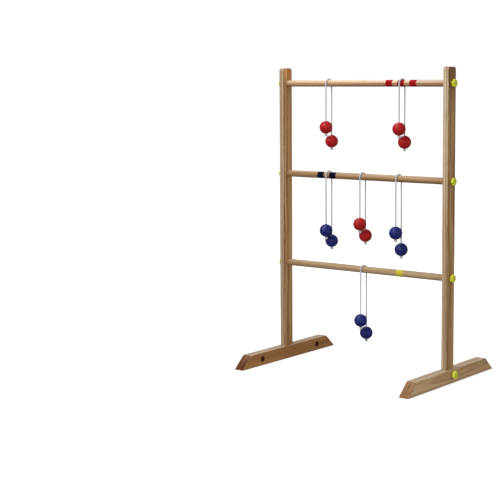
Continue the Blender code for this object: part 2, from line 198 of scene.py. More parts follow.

# Finishes. Paint: thin and thick. Metal: bright and dull, and how finely it is turned across and along its
# axis. Balls: two mottled shades and the pale specks, partly scuffs and partly painted glints. Cord: clean
# and soiled.
PAINTS = {
    "red": ((0.38, 0.007, 0.009), (0.29, 0.004, 0.006)),
    "navy": ((0.004, 0.006, 0.026), (0.002, 0.003, 0.014)),
    "yellow": ((0.62, 0.54, 0.055), (0.53, 0.45, 0.038)),
}
METALS = {
    "steel_plated": ((0.62, 0.62, 0.60), (0.44, 0.42, 0.38), (300.0, 300.0, 4200.0)),
    "screw_bronzed": ((0.36, 0.13, 0.08), (0.20, 0.07, 0.05), (300.0, 300.0, 4200.0)),
    "brass_plain": ((0.78, 0.60, 0.28), (0.56, 0.40, 0.17), (400.0, 400.0, 3600.0)),
}
BALL_COLOURS = {
    "red": ((0.58, 0.010, 0.012), (0.40, 0.005, 0.007), (0.72, 0.20, 0.17)),
    "blue": ((0.018, 0.026, 0.225), (0.010, 0.014, 0.150), (0.13, 0.16, 0.40)),
}
CORD_COLOURS = {
    "cord_braided": ((0.72, 0.72, 0.76), (0.60, 0.60, 0.64)),
    # The knots' cord is a lighter copy of the same colours: painted light, for the light that reaches under
    # the balls.
    "cord_knot_painted_light": ((0.92, 0.92, 0.93), (0.84, 0.84, 0.85)),
}

# How finely round shapes are divided.
RUNG_SIDES = 64
KNOB_SIDES_PER_LOBE = 12
THREAD_SIDES = 20
THREAD_RINGS = 5  # for each turn
INSERT_SIDES = 28
SCREW_SIDES = 32
HOLE_SIDES = 40
BALL_DIMPLE_STEPS = 6  # dimples along each edge of the icosahedron that they are laid out on
BALL_STEPS = 36  # mesh points along the same edge
BALL_BORE_SIDES = 32
CORD_SIDES = 24
CORD_STEP = 0.0007
KNOT_SIDES = 18
KNOT_STEP = 0.0005

DIMPLE_DEPTH = 0.00042
DIMPLE_REACH = 0.0896  # from a dimple's middle to its edge, on a ball of radius 1
DIMPLE_POLE = (0.31, 0.18, 0.93)  # where the top of the dimples' layout lies, askew to the bore
BRAID_STRANDS = 6  # in each direction round the cord
BRAID_LAY = 0.024  # cord length in which a strand goes once round
BRAID_DEPTH = 0.00028

CUT_BEYOND = 0.01  # how far a cutter reaches past the face that it starts from

# The camera: place, turn from +Y towards -X, downward tilt and roll in radians, lens in mm, and lens shift.
CAMERA_PLACE = (2.3956, -3.6042, 0.9736)
CAMERA_TURN = 0.67271
CAMERA_TILT = 0.09823
CAMERA_ROLL = -0.00675
CAMERA_LENS = 95.28
CAMERA_SHIFT = -0.09

# Softboxes: name, place, aim, width, and power in watts.
SOFTBOXES = (
    ("front_softbox", (-0.5, -1.25, 2.15), (0.0, 0.0, 0.65), 1.2, 21.0),
    ("top_softbox", (-0.9, 0.45, 2.20), (0.0, 0.0, 0.80), 0.9, 12.0),
)

# Far lamps: name, the way that they shine, strength, and width in degrees. The wider, the softer the shadows.
FAR_LAMPS = (
    ("key", (0.30, 0.74, -0.60), 0.5, 48),
    ("fill", (-0.95, 0.12, -0.20), 0.42, 60),
    ("spark", (-0.36, 0.92, -0.13), 0.45, 8),
)

FAR_LAMP_PLACE = (0.0, 0.0, 3.0)  # where they stand makes no difference

# The light all round: its strength goes from To Min to To Max as the way up goes from From Min to From Max.
AMBIENT = {"From Min": -0.8, "From Max": 0.8, "To Min": 0.26, "To Max": 0.50}
REFLECTED_STRENGTH = 0.16
BACKDROP_STRENGTH = 1.05

FLOOR_SIZE = 60.0
FLOOR_DROP = 0.0002  # the floor lies just under the feet


# Mesh building.


def new_item(name, data):
    item = bpy.data.objects.new(name, data)
    bpy.context.scene.collection.objects.link(item)
    return item


def mesh_from(bm, name):
    bmesh.ops.recalc_face_normals(bm, faces=bm.faces)
    mesh = bpy.data.meshes.new(name)
    bm.to_mesh(mesh)
    bm.free()
    return mesh


def skin(bm, rings, slot=0, looped=False):
    """Joins rings of points, each with as many points as the next, into a tube with flat ends, or into a loop
    whose last ring joins on to its first."""
    made = [[bm.verts.new(point) for point in ring] for ring in rings]
    faces = [] if looped else [bm.faces.new(made[0]), bm.faces.new(made[-1])]
    for first, second in zip(made, [*made[1:], made[0]] if looped else made[1:]):
        for i, vert in enumerate(first):
            j = (i + 1) % len(first)
            faces.append(bm.faces.new((vert, first[j], second[j], second[i])))
    for face in faces:
        face.material_index = slot
        face.smooth = True
    return faces


def circle(radius, height, sides, shape=None):
    """A ring about Z. shape gives the radius at an angle, if it isn't the same all round."""
    points = []
    for i in range(sides):
        angle = math.tau * i / sides
        reach = shape(angle) if shape else radius
        points.append(Vector((reach * math.cos(angle), reach * math.sin(angle), height)))
    return points


def arc(centre_radius, centre_height, radius, start, end, steps):
    """Points (radius, height) on an arc of a turned profile, with its angles in degrees from outward."""
    points = []
    for i in range(steps + 1):
        angle = math.radians(start + (end - start) * i / steps)
        points.append((centre_radius + radius * math.cos(angle), centre_height + radius * math.sin(angle)))
    return points


def thread_rings(crest, thread, top, bottom, sides=THREAD_SIDES):
    """Rings down a threaded shank about Z, which fades to its crest radius at both ends."""
    pitch, depth = thread
    count = round((top - bottom) / pitch * THREAD_RINGS)
    rings = []
    for i in range(count + 1):
        height = top + (bottom - top) * i / count
        fade = min(1.0, min(i, count - i) / (2 * THREAD_RINGS))

        def shape(angle, height=height, fade=fade):
            turn = (height / pitch + angle / math.tau) % 1.0
            return crest - depth * fade * (1 - abs(2 * turn - 1))

        rings.append(circle(crest, height, sides, shape))
    return rings


def add_cylinder(bm, radius, start, end, sides=HOLE_SIDES):
    start, end = Vector(start), Vector(end)
    turn = (end - start).to_track_quat("Z", "Y").to_matrix().to_4x4()
    bmesh.ops.create_cone(
        bm, cap_ends=True, segments=sides, radius1=radius, radius2=radius, depth=(end - start).length,
        matrix=Matrix.Translation((start + end) / 2) @ turn,
    )


def add_box(bm, low, high):
    """Adds a box between two corners and returns its vertices."""
    made = bmesh.ops.create_cube(bm, size=1.0)["verts"]
    bmesh.ops.scale(bm, vec=Vector(high) - Vector(low), verts=made)
    bmesh.ops.translate(bm, vec=(Vector(low) + Vector(high)) / 2, verts=made)
    return made


def worked(mesh, ease=0.0, cutters=()):
    """The mesh with its sharp edges eased and the cutters' shapes taken out of it."""
    item = new_item("work", mesh)
    if ease:
        bevel = item.modifiers.new("eased_edges", "BEVEL")
        bevel.width = ease
        bevel.segments = 4
        bevel.limit_method = "ANGLE"
        bevel.angle_limit = math.radians(35)
    tools = [new_item("cutter", cutter) for cutter in cutters]
    for tool in tools:
        cut = item.modifiers.new("cut", "BOOLEAN")
        cut.operation = "DIFFERENCE"
        cut.solver = "EXACT"
        cut.object = tool
    graph = bpy.context.evaluated_depsgraph_get()
    result = bpy.data.meshes.new_from_object(item.evaluated_get(graph))
    result.name = mesh.name
    for used in (item, *tools):
        bpy.data.objects.remove(used, do_unlink=True)
    return result


def smoothed(mesh, degrees):
    """The mesh, shaded smooth except where its faces meet at more than that angle."""
    mesh.shade_smooth()
    mesh.set_sharp_from_angle(angle=math.radians(degrees))
    return mesh


def store(mesh, name, values):
    """Keeps a vector for each vertex, which the materials read."""
    attribute = mesh.attributes.new(name, "FLOAT_VECTOR", "POINT")
    attribute.data.foreach_set("vector", [number for value in values for number in value])


def store_number(mesh, name, values):
    mesh.attributes.new(name, "FLOAT", "POINT").data.foreach_set("value", values)


def new_piece(name, mesh, body, materials, node=None, place=Matrix.Identity(4)):
    """A piece that rides on a body, with its materials, and the CAD node it stands for, if any, hidden."""
    piece = new_item(name, mesh)
    piece.matrix_world = place
    for material in materials:
        mesh.materials.append(material)
    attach(piece, body)
    if node:
        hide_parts(node)
    return piece


def joint_place(name):
    return Vector(next(joint["pos_m"] for joint in frame["joints"] if joint["name"] == name))


def pointing_out(side, place, turn_degrees=0.0):
    """Stands a piece built along +Z on a place, pointing away from the frame's middle."""
    turn = Matrix.Rotation(side * math.pi / 2, 4, "Y") @ Matrix.Rotation(math.radians(turn_degrees), 4, "Z")
    return Matrix.Translation(place) @ turn


# Materials.


class Look:
    """A material in the making: its shader, the colours laid on it so far, and short calls for its nodes."""

    def __init__(self, name, settings):
        self.material = bpy.data.materials.new(name)
        self.material.use_nodes = True
        self.tree = self.material.node_tree
        self.shader = self.tree.nodes["Principled BSDF"]
        self.colour = None
        for socket, value in settings.items():
            self.shader.inputs[socket].default_value = value

    def node(self, kind, inputs=(), **settings):
        made = self.tree.nodes.new("ShaderNode" + kind)
        for key, value in settings.items():
            setattr(made, key, value)
        for key, value in inputs:
            self.feed(made.inputs[key], value)
        return made

    def feed(self, socket, value):
        if isinstance(value, bpy.types.NodeSocket):
            self.tree.links.new(value, socket)
        else:
            socket.default_value = value

    def stored(self, name):
        return self.node("Attribute", attribute_name=name).outputs["Vector"]

    def stored_number(self, name):
        return self.node("Attribute", attribute_name=name).outputs["Fac"]

    def parts(self, vector):
        return self.node("SeparateXYZ", ((0, vector),)).outputs

    def math(self, operation, *values):
        return self.node("Math", enumerate(values), operation=operation).outputs[0]

    def total(self, first, *others):
        for other in others:
            first = self.math("ADD", first, other)
        return first

    def times(self, value, factor):
        return self.math("MULTIPLY", value, factor)

    def vector(self, operation, *values):
        made = self.node("VectorMath", enumerate(values), operation=operation)
        return made.outputs["Value" if operation in ("LENGTH", "DOT_PRODUCT") else "Vector"]

    def noise(self, place, fineness, detail=2.0, roughness=0.5):
        """Noise with about that many features a metre, or that many along each axis of place."""
        stretch = fineness if isinstance(fineness, tuple) else (fineness,) * 3
        at = self.vector("MULTIPLY", place, stretch)
        inputs = (("Vector", at), ("Scale", 1.0), ("Detail", detail), ("Roughness", roughness))
        return self.node("TexNoise", inputs).outputs["Fac"]

    def step(self, value, low, high, start=0.0, end=1.0):
        """Goes smoothly from start to end as the value goes from low to high."""
        inputs = (("Value", value), ("From Min", low), ("From Max", high), ("To Min", start), ("To Max", end))
        return self.node("MapRange", inputs, interpolation_type="SMOOTHSTEP").outputs["Result"]

    def toward(self, axis):
        """How squarely the surface faces the way an axis points, from -1 to 1."""
        return self.vector("DOT_PRODUCT", self.node("NewGeometry").outputs["Normal"], axis)

    def along(self, axis):
        """How squarely the surface faces either way along an axis, from 0 to 1."""
        return self.math("ABSOLUTE", self.toward(axis))

    def mix(self, factor, first, second, blend="MIX"):
        inputs = ((0, factor), (6, rgba(first)), (7, rgba(second)))
        return self.node("Mix", inputs, data_type="RGBA", blend_type=blend).outputs[2]

    def lay(self, factor, colour, strength=1.0, blend="MIX"):
        """Lays a colour over the earlier ones, as far as the factor and its strength say."""
        self.colour = self.mix(self.times(factor, strength), self.colour, colour, blend)

    def stain(self, factor, colour, strength=1.0):
        """Tints the earlier colours, as far as the factor and its strength say."""
        self.lay(factor, colour, strength, "MULTIPLY")

    def finished(self, roughness, height=None, distance=0.0, strength=0.8):
        """The material with its colours, this roughness, and a bump where a height is given."""
        inputs = self.shader.inputs
        self.feed(inputs["Base Color"], self.colour)
        self.feed(inputs["Roughness"], roughness)
        if height is not None:
            bump = self.node("Bump", (("Height", height), ("Distance", distance), ("Strength", strength)))
            self.feed(inputs["Normal"], bump.outputs["Normal"])
        return self.material


def rgba(colour):
    return colour if isinstance(colour, bpy.types.NodeSocket) else (*colour, 1.0)


def scaled(colour, factor):
    return tuple(channel * factor for channel in colour)


def edge_closeness(look, half, end_slope):
    """1 at a board's long and end edges, falling to 0 a few millimetres away. half is the board's half size
    along, across and through it."""
    board = look.stored("board")
    reach = look.parts(look.vector("ABSOLUTE", board))
    lean = look.times(look.total(look.parts(board)[1], half[1]), end_slope)
    to_end = look.math("SUBTRACT", look.math("SUBTRACT", half[0], reach[0]), lean)
    to_side = look.math("SUBTRACT", half[1], reach[1])
    to_face = look.math("SUBTRACT", half[2], reach[2])
    nearer = look.math("MINIMUM", to_end, to_side)
    farther = look.math("MAXIMUM", to_end, to_side)
    to_edge = look.math("MAXIMUM", nearer, look.math("MINIMUM", farther, to_face))
    return look.step(to_edge, 0.0004, 0.0042, 1.0, 0.0)


def wood_fibres(look):
    return look.noise(look.stored("grain"), (16.0, 950.0, 950.0), detail=3.0, roughness=0.6)


def wood_figure(look, ring_gap, pith):
    """The grain's parts, each from 0 to 1: late wood in the growth rings, broad streaks, fibres and pores."""
    grain = look.stored("grain")
    across = look.vector("MULTIPLY", look.stored("board"), (0.0, 1.0, 1.0))
    from_pith = look.vector("LENGTH", look.vector("SUBTRACT", across, (0.0, *pith)))
    wander = look.noise(grain, (2.2, 16.0, 16.0))
    ring = look.math("FRACT", look.total(look.times(from_pith, 1 / ring_gap), look.times(wander, 3.0)))
    late = look.times(look.step(ring, 0.15, 0.86), look.step(ring, 0.90, 1.0, 1.0, 0.0))
    streaks = look.step(look.noise(grain, (1.1, 70.0, 70.0)), 0.32, 0.68)
    pores = look.step(look.noise(grain, (110.0, 2300.0, 2300.0), detail=1.0), 0.61, 0.72)
    return late, streaks, wood_fibres(look), pores


def wood_material(name, wood, ring_gap, grain_axis, half, end_slope=0.0, upper_tone_and_shade=None):
    """Oiled hardwood, in a board with its own grain and end colour. What faces up is laid lighter as painted
    light, the faces across X take a painted-shade tint, and the edges are worn and handled."""
    light, dark, pith, x_face_shade_tint, end_tint = wood
    look = Look(name, {"Specular IOR Level": 0.28, "IOR": 1.5})
    grain = look.stored("grain")
    late, streaks, fibres, pores = wood_figure(look, ring_gap, pith)
    tone = look.total(look.times(late, 0.44), look.times(streaks, 0.48), look.times(fibres, 0.30))
    look.colour = look.mix(look.step(tone, 0.20, 1.00), light, dark)

    drift = look.step(look.noise(grain, (1.9, 12.0, 12.0), detail=1.0), 0.38, 0.62)
    look.stain(drift, (0.91, 0.76, 0.60), 0.50)
    blotch = look.step(look.noise(grain, (5.0, 40.0, 40.0), detail=3.0), 0.40, 0.72)
    look.stain(blotch, (0.84, 0.70, 0.54), 0.30)
    along = look.parts(look.stored("board"))[0]
    near_end = look.step(look.math("ABSOLUTE", along), half[0] - 0.045, half[0] - 0.004)
    soaked = look.times(near_end, look.step(blotch, 0.0, 1.0, 0.3, 1.0))
    look.stain(soaked, (0.62, 0.46, 0.34), 0.35)
    marks = look.step(look.noise(grain, (14.0, 150.0, 150.0)), 0.64, 0.74)
    look.stain(marks, (0.56, 0.42, 0.32), 0.75)
    look.stain(pores, (0.42, 0.30, 0.20), 0.55)
    # Painted shade: the faces across X, on the shaded side, take a deeper, warmer tint.
    x_face_shade = look.step(look.along(X_AXIS), 0.6, 0.95)
    look.stain(x_face_shade, x_face_shade_tint)
    # Towards the top: painted shade on the right upright, a lighter tone of its own on the left.
    if upper_tone_and_shade:
        tint, reach = upper_tone_and_shade
        upper = look.step(along, half[0] - reach, half[0] - 0.01)
        look.stain(look.times(x_face_shade, upper), tint)

    end = look.step(look.along(grain_axis), 0.42, 0.72)
    # Painted light: faces that look up, but not the end grain, are laid lighter.
    top_light = look.math("SUBTRACT", look.step(look.toward(Z_AXIS), 0.3, 0.95), end)
    look.lay(look.math("MAXIMUM", top_light, 0.0), (0.62, 0.54, 0.44), 0.30)
    rays = look.noise(grain, (260.0, 900.0, 330.0))
    ring_tint = look.step(look.total(late, rays), 0.4, 1.2)
    look.lay(end, look.mix(ring_tint, scaled(end_tint, 1.3), scaled(end_tint, 0.6)))

    edge = edge_closeness(look, half, end_slope)
    rubbed = look.step(look.noise(grain, (38.0, 190.0, 190.0), detail=4.0), 0.46, 0.64)
    wear = look.times(edge, rubbed)
    look.lay(wear, (0.64, 0.50, 0.33), 0.18)
    # Grime from handling darkens the edges where they aren't rubbed pale.
    darkening = look.times(edge, look.step(rubbed, 0.0, 1.0, 0.5, 0.0))
    look.stain(darkening, (0.56, 0.40, 0.28))

    rough = look.total(look.times(fibres, 0.22), look.times(pores, 0.12), look.times(end, 0.42), 0.36)
    height = look.total(look.times(fibres, 0.55), look.times(late, 0.35), look.times(pores, -0.6))
    dents = look.step(look.noise(grain, (70.0, 120.0, 120.0), detail=1.0), 0.66, 0.80, 0.0, -1.6)
    return look.finished(
        look.total(rough, look.times(wear, 0.10)), look.total(height, look.times(dents, edge)), 0.00022
    )


def counterbore_shade_material(name):
    """The walls of a counterbore: rough end grain, laid dark as painted shade inside the hole."""
    look = Look(name, {"Specular IOR Level": 0.15})
    wall_mottle = look.noise(look.stored("grain"), (330.0, 330.0, 700.0), detail=4.0)
    look.colour = look.mix(look.step(wall_mottle, 0.3, 0.7), (0.17, 0.045, 0.022), (0.075, 0.020, 0.012))
    return look.finished(look.step(wall_mottle, 0.2, 0.8, 0.7, 0.9), wall_mottle, 0.0003)


def rung_material(name, light, dark, top_highlight, gloss):
    """A varnished dowel, with its grain running along X, and a painted highlight laid lighter along its top.
    """
    look = Look(name, {"Specular IOR Level": gloss, "Coat Weight": gloss / 2, "Coat Roughness": 0.3})
    late, streaks, fibres, pores = wood_figure(look, RUNG_RING_GAP, RUNG_PITH)
    tone = look.total(look.times(late, 0.38), look.times(streaks, 0.44), look.times(fibres, 0.32))
    look.colour = look.mix(look.step(tone, 0.14, 1.0), light, dark)
    look.stain(pores, (0.45, 0.32, 0.22), 0.5)
    # Painted highlight: the top, turned a little to the front, is laid lighter.
    look.lay(look.step(look.toward((0.0, -0.25, 1.0)), 0.25, 0.95), (0.78, 0.62, 0.44), top_highlight)
    look.stain(look.step(look.along(X_AXIS), 0.5, 0.8), (0.62, 0.46, 0.34))
    scuffs = look.step(look.noise(look.stored("grain"), (30.0, 420.0, 420.0), detail=4.0), 0.60, 0.74)
    look.lay(scuffs, (0.68, 0.55, 0.40), 0.30)
    rough = look.total(look.times(fibres, 0.24), look.times(scuffs, 0.10), 0.26)
    height = look.total(look.times(fibres, 0.6), look.times(late, 0.3), look.times(pores, -0.6))
    return look.finished(rough, height, 0.00018)


def paint_material(name, colour, deep):
    """A brushed coat of paint that lets the dowel's grain show through and is rubbed thin in places."""
    look = Look(name, {"Specular IOR Level": 0.03})
    grain = look.stored("grain")
    brushed = look.noise(grain, (700.0, 90.0, 90.0), detail=3.0)
    mottle = look.noise(grain, 120.0, detail=4.0)
    look.colour = look.mix(look.step(look.total(brushed, mottle), 0.75, 1.3), colour, deep)
    thin = look.step(look.noise(grain, (240.0, 420.0, 420.0), detail=5.0, roughness=0.7), 0.66, 0.74)
    look.lay(thin, (0.50, 0.36, 0.24), 0.35)
    rough = look.total(look.times(mottle, 0.22), look.times(thin, 0.2), 0.48)
    height = look.total(look.times(wood_fibres(look), 0.7), look.times(brushed, 0.4))
    return look.finished(rough, height, 0.00016)


def knob_material(name):
    """Moulded yellow-green plastic with a spark-eroded surface, paler and shinier where fingers rub it."""
    look = Look(name, {"Specular IOR Level": 0.4, "IOR": 1.49})
    local = look.stored("local")
    texture = look.noise(local, 2600.0)
    flow = look.noise(local, (160.0, 160.0, 420.0), detail=3.0)
    look.colour = look.mix(look.step(flow, 0.3, 0.7), (0.77, 0.77, 0.028), (0.67, 0.68, 0.020))
    # Darker in the dish and round the hub under the head, more in some places than others.
    darkening = look.step(look.stored_number("recess"), 0.15, 1.0)
    look.stain(look.times(darkening, look.step(flow, 0.2, 0.75, 0.35, 0.85)), (0.74, 0.70, 0.42))
    rubbed = look.times(look.stored_number("rim"), look.step(flow, 0.40, 0.62))
    look.lay(rubbed, (0.78, 0.80, 0.20), 0.5)
    rough = look.total(look.times(texture, 0.20), look.times(rubbed, -0.14), 0.30)
    return look.finished(rough, texture, 0.00006, 0.7)


def metal_material(name, bright, dull, turning):
    """Metal with fine turning marks round its own axis and a mottled bloom."""
    look = Look(name, {"Metallic": 1.0})
    local = look.stored("local")
    marks = look.noise(local, turning, detail=3.0)
    bloom = look.step(look.noise(local, 420.0, detail=4.0), 0.35, 0.7)
    look.colour = look.mix(bloom, bright, dull)
    rough = look.total(look.times(bloom, 0.20), look.times(marks, 0.16), 0.20)
    return look.finished(rough, marks, 0.00004, 0.6)


def ball_material(name, colour, deep, scuff_and_glint_colour):
    """A moulded ball under a clear coat, mottled, with painted shade in its dimples and small pale specks
    that are partly scuffs and partly painted glints.
    """
    look = Look(name, {"Specular IOR Level": 0.16, "Coat Weight": 0.30, "Coat Roughness": 0.08})
    local = look.stored("local")
    mottle = look.noise(local, 95.0, detail=4.0, roughness=0.6)
    look.colour = look.mix(look.step(mottle, 0.34, 0.66), colour, deep)
    dimple = look.stored_number("dimple")
    # Painted shade in the dimples, stronger in some patches than others.
    patchy = look.step(look.noise(local, 150.0, detail=3.0), 0.42, 0.60, 0.25, 0.85)
    look.stain(look.times(dimple, patchy), (0.36, 0.36, 0.40))
    # Pale specks away from the dimples: partly scuffs, partly painted glints.
    speck = look.step(look.noise(local, 340.0, detail=4.0, roughness=0.7), 0.64, 0.71)
    scuff_and_glint = look.times(speck, look.step(dimple, 0.0, 0.5, 0.55, 0.0))
    look.lay(scuff_and_glint, scuff_and_glint_colour)
    rough = look.total(look.times(mottle, 0.26), look.times(scuff_and_glint, 0.25), 0.24)
    height = look.total(look.times(look.noise(local, 2200.0), 0.4), mottle)
    return look.finished(rough, height, 0.00010, 0.6)


def cord_material(name, clean, soiled):
    """White braided cord: fine filaments along each strand, painted shade in the grooves, and a little
    soiled.
    """
    look = Look(name, {"Specular IOR Level": 0.3, "Sheen Weight": 0.25, "Sheen Roughness": 0.5})
    strand = look.stored("strand")
    filaments = look.noise(strand, (3800.0, 3800.0, 700.0))
    soil = look.noise(strand, (260.0, 260.0, 22.0), detail=3.0)
    look.colour = look.mix(look.step(soil, 0.35, 0.7), clean, soiled)
    # Painted shade: the grooves between the strands are greyed.
    groove = look.stored_number("groove")
    look.stain(groove, (0.52, 0.52, 0.56), 0.7)
    look.stain(filaments, (0.72, 0.72, 0.74), 0.35)
    rough = look.total(look.times(filaments, 0.2), look.times(groove, 0.15), 0.55)
    return look.finished(rough, filaments, 0.00010)


def floor_material():
    """An even, pale floor that gives off a little light of its own, as the backdrop does."""
    white = (1.0, 1.0, 1.0, 1.0)
    look = Look("floor_pale", {"Specular IOR Level": 0.2, "Emission Color": white, "Emission Strength": 0.6})
    patch = look.noise(look.node("TexCoord").outputs["Object"], 1.5, detail=3.0)
    look.colour = look.mix(patch, (0.90, 0.90, 0.90), (0.87, 0.87, 0.87))
    return look.finished(look.step(patch, 0.2, 0.8, 0.65, 0.8))


# The wooden pieces.


def node_box(node):
    """A CAD piece's low and high corners, and its middle."""
    low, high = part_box(node)
    return low, high, (low + high) / 2


def mark_board(mesh, middle, axes, chance):
    """Stores where each vertex is in its board: along, across and through it, from its middle. The grain has
    the same directions, shifted so that each board shows another piece of the tree."""
    shift = Vector(chance.uniform(-9.0, 9.0) for _ in range(3))
    places = [Vector((vert.co - middle)[axis] for axis in axes) for vert in mesh.vertices]
    store(mesh, "board", places)
    store(mesh, "grain", [place + shift for place in places])


def add_bore(bm, radius, start, end, at):
    """Adds a cylinder along X, from start to end, through a point."""
    add_cylinder(bm, radius, (start, at.y, at.z), (end, at.y, at.z))


def make_upright(side_name, side, material, chance):
    node = f"{side_name}_upright"
    low, high, middle = node_box(node)
    bm = bmesh.new()
    add_box(bm, low, high)
    top_ends = [
        edge
        for edge in bm.edges
        if all(vert.co.z > middle.z for vert in edge.verts) and edge.verts[0].co.y == edge.verts[1].co.y
    ]
    bmesh.ops.bevel(
        bm, geom=top_ends, offset=TOP_CORNER_RADIUS, segments=TOP_CORNER_STEPS, profile=0.5, affect="EDGES"
    )

    bores = bmesh.new()
    for rung in RUNGS:
        knob = joint_place(f"{side_name}_{rung}_knob_turn")
        add_bore(bores, STUD_HOLE_RADIUS, low.x - CUT_BEYOND, high.x + CUT_BEYOND, knob)
    outer = high.x if side > 0 else low.x
    pocket = outer - side * (INSERT_LENGTH + INSERT_RECESS + GAP)
    foot_knob = joint_place(f"{side_name}_foot_knob_turn")
    add_bore(bores, INSERT_RADIUS + GAP, outer + side * CUT_BEYOND, pocket, foot_knob)

    mesh = smoothed(worked(mesh_from(bm, node), WOOD_EASE, [mesh_from(bores, "bores")]), 30)
    mark_board(mesh, middle, (2, 1, 0), chance)
    new_piece(f"{node}.fine", mesh, "frame", [material], node)


def make_foot_board(side_name, side, board, materials, chance):
    """Half a foot, cut out for the upright. The inner half is counterbored for the screws' heads."""
    node = f"{side_name}_foot_{board}_board"
    low, high, middle = node_box(node)
    bm = bmesh.new()
    for vert in add_box(bm, low, high):
        if vert.co.z > middle.z:
            vert.co.y -= math.copysign(FOOT_END_RUN, vert.co.y)

    slot = bmesh.new()
    upright_low, upright_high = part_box(f"{side_name}_upright")
    around = Vector((GAP, GAP, high.z))
    add_box(slot, (*(upright_low - around).xy, -high.z), (*(upright_high + around).xy, 2 * high.z))

    holes, shanks = bmesh.new(), bmesh.new()
    face = low.x if side > 0 else high.x
    bored = []
    if board == "outer":
        knob = joint_place(f"{side_name}_foot_knob_turn")
        add_bore(holes, STUD_HOLE_RADIUS, low.x - CUT_BEYOND, high.x + CUT_BEYOND, knob)
    for end_name in ENDS:
        screw_low, screw_high, at = node_box(f"{side_name}_foot_screw_{end_name}")
        add_bore(shanks, SCREW_SHANK_RADIUS + 2 * GAP, screw_low.x, screw_high.x, at)
        if board == "inner":
            add_bore(holes, COUNTERBORE_RADIUS, face - side * CUT_BEYOND, face + side * COUNTERBORE_DEPTH, at)
            bored.append(at.yz)

    cutters = [mesh_from(slot, "slot"), mesh_from(holes, "holes"), mesh_from(shanks, "shank_holes")]
    mesh = smoothed(worked(mesh_from(bm, node), WOOD_EASE, cutters), 30)
    # Faces inside the counterbores take the dark material that paints their shade.
    for polygon in mesh.polygons:
        centre = polygon.center
        inside = any((centre.yz - at).length < COUNTERBORE_RADIUS + GAP for at in bored)
        if inside and abs(centre.x - face) > GAP:
            polygon.material_index = 1
    mark_board(mesh, middle, (1, 2, 0), chance)
    new_piece(f"{node}.fine", mesh, "frame", [materials[node], materials["bored"]], node)


def make_rung(rung, wood, paint, chance):
    """A dowel with a bore for an insert in each end, and a film of paint on its bands."""
    node = f"{rung}_rung"
    low, high, middle = node_box(node)
    half, radius = (high.x - low.x) / 2, (high.z - low.z) / 2
    bore = INSERT_RADIUS + GAP
    bore_end = half - INSERT_LENGTH - INSERT_RECESS - GAP
    corner = 0.3 * RUNG_EASE
    film = radius + PAINT_THICKNESS
    _, bands, width = BANDS[rung]

    # (place along X, radius, how much the edge wobbles, whether paint follows)
    profile = [(-bore_end, bore, 0, False), (-half, bore, 0, False), (-half, radius - RUNG_EASE, 0, False)]
    profile += [(-half + corner, radius - corner, 0, False), (-half + RUNG_EASE, radius, 0, False)]
    for band in sorted(bands):
        start, end = band - width / 2, band + width / 2
        profile += [(start, radius, 1, False), (start + PAINT_EDGE, film, 1, True)]
        profile += [(end - PAINT_EDGE, film, 1, False), (end, radius, 1, False)]
    profile += [(-x, reach, wobble, False) for x, reach, wobble, _ in reversed(profile[:5])]

    wobbles = {}
    bm = bmesh.new()
    rings = []
    for x, reach, wobble, _ in profile:
        phases = wobbles.setdefault(round(x, 3), [chance.uniform(0, math.tau) for _ in range(3)])
        ring = []
        for i in range(RUNG_SIDES):
            angle = math.tau * i / RUNG_SIDES
            waver = sum(math.sin((k + 2) * angle + phase) / (k + 2) for k, phase in enumerate(phases))
            along = x + wobble * PAINT_EDGE_WOBBLE * waver
            ring.append(middle + Vector((along, reach * math.cos(angle), reach * math.sin(angle))))
        rings.append(ring)
    faces = skin(bm, rings)
    for index, (_, _, _, painted) in enumerate(profile[:-1]):
        if painted:
            for face in faces[2 + index * RUNG_SIDES : 2 + (index + 1) * RUNG_SIDES]:
                face.material_index = 1
    mesh = smoothed(mesh_from(bm, node), 40)
    mark_board(mesh, middle, (0, 1, 2), chance)
    new_piece(f"{node}.fine", mesh, "frame", [wood, paint], node)


# The fittings.


def mark_local(mesh, chance):
    """Stores each vertex's own place in its mesh, shifted so that no two look alike. Returns the mesh."""
    shift = Vector(chance.uniform(-2.0, 2.0) for _ in range(3))
    store(mesh, "local", [vert.co + shift for vert in mesh.vertices])
    return mesh


def knob_profile():
    """(radius, height, lobed share, recess, rim) down the knob's head and hub, from the middle of its top."""
    base = KNOB_HUB_HEIGHT
    top = base + KNOB_HEAD_THICKNESS
    dish, sunk, lip = KNOB_DISH_RADIUS, top - KNOB_DISH_DEPTH, KNOB_DISH_ROUNDING
    rim, foot = KNOB_RIM_ROUNDING, KNOB_FOOT_ROUNDING
    rings = [(0.0008, sunk, 0, 1, 0), (dish, sunk, 0, 1, 0)]
    rings += [(r, h, 0, 0.8, 0) for r, h in arc(dish, sunk + lip, lip, -90, 0, 4)[1:]]
    rings += [(r, h, 0.05, 0.2, 0.4) for r, h in arc(dish + 2 * lip, top - lip, lip, 180, 90, 4)]
    rings += [(0.0062, top - 0.0001, 0.15, 0, 0.2), (0.0078, top - 0.0006, 0.45, 0.35, 0)]
    rings += [(0.0094, top - 0.0007, 0.8, 0.3, 0.1)]
    rings += [(r, h, 1, 0, 1) for r, h in arc(KNOB_RADIUS - rim, top - 0.0005 - rim, rim, 84, 0, 9)]
    rings += [(KNOB_RADIUS, base + foot + 0.002, 1, 0, 0.5)]
    rings += [(r, h, 1, 0.1, 0.4) for r, h in arc(KNOB_RADIUS - foot, base + foot, foot, 0, -90, 6)]
    rings += [(KNOB_HUB_RADIUS + 0.0012, base, 0.4, 0.7, 0), (KNOB_HUB_RADIUS + 0.0004, base, 0, 1, 0)]
    rings += [(KNOB_HUB_RADIUS, base - 0.0005, 0, 1, 0), (KNOB_HUB_RADIUS, 0.0004, 0, 0.8, 0)]
    rings += [(KNOB_HUB_RADIUS - 0.0004, 0, 0, 0.8, 0), (STUD_RADIUS + 0.0004, 0, 0, 1, 0)]
    return rings


